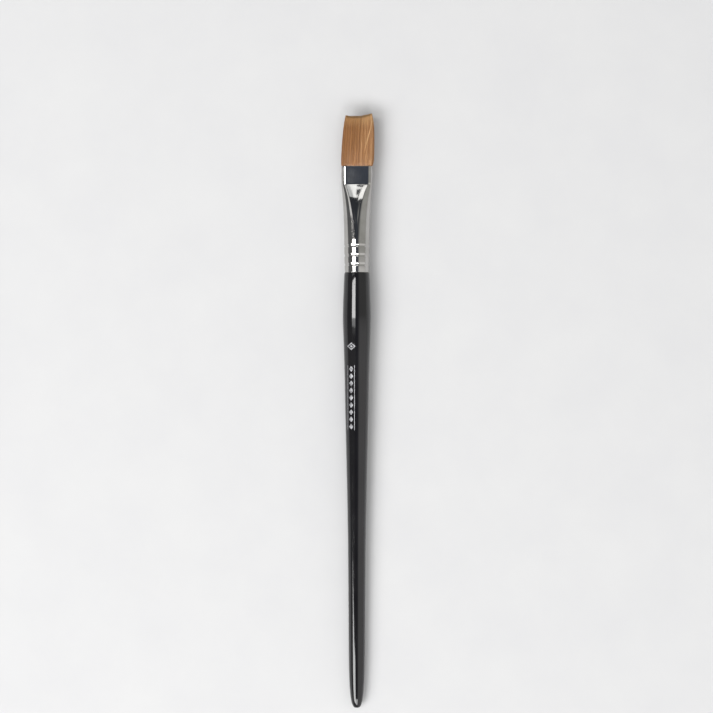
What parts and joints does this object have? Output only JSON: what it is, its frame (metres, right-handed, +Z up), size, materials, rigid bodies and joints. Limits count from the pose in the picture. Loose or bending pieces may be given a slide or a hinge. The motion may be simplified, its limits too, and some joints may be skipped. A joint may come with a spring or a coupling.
{
  "type": "flat paint brush",
  "caption": "Long-handled flat artist's paint brush with a black lacquered turned handle, a crimped round-to-flat metal ferrule and a springy golden-brown filament tuft.",
  "frame": {"origin": "bottom centre of the whole brush as it lies, midway between the two ends and under its axis, on the surface it lies on", "axes": "+Y along the brush towards the tuft, +X across the width of the flat tuft, +Z up, out of the broad face of the tuft"},
  "size_m": [0.017, 0.2912, 0.0138],
  "materials": {
    "wood": "plain turned hardwood",
    "black_lacquer": "glossy black lacquer",
    "adhesive": "clear amber glue",
    "nickel_plate": "nickel plate on drawn brass, polished with fine draw lines",
    "filament": "fine golden-brown polyester filaments with a soft sheen",
    "thread": "waxed thread",
    "epoxy": "cured amber epoxy",
    "silver_foil": "matt silver stamping foil"
  },
  "bodies": {
    "brush": {"wooden_handle": "wood", "lacquer_coat": "black_lacquer", "tenon_adhesive": "adhesive", "ferrule": "nickel_plate", "tuft_root": "filament", "binding_thread": "thread", "epoxy_plug": "epoxy", "foil_mark": "silver_foil", "foil_ornament": "silver_foil"},
    "tuft": {"tuft": "filament"}
  },
  "joints": [
    {"name": "tuft_flex", "type": "hinge", "parent": "brush", "child": "tuft", "pos_m": [0, 0.1234, 0.00689], "axis": [1, 0, 0], "range_deg": [-50, 50], "stiffness_Nm_per_rad": 0.012, "deforming": ["tuft"]}
  ]
}
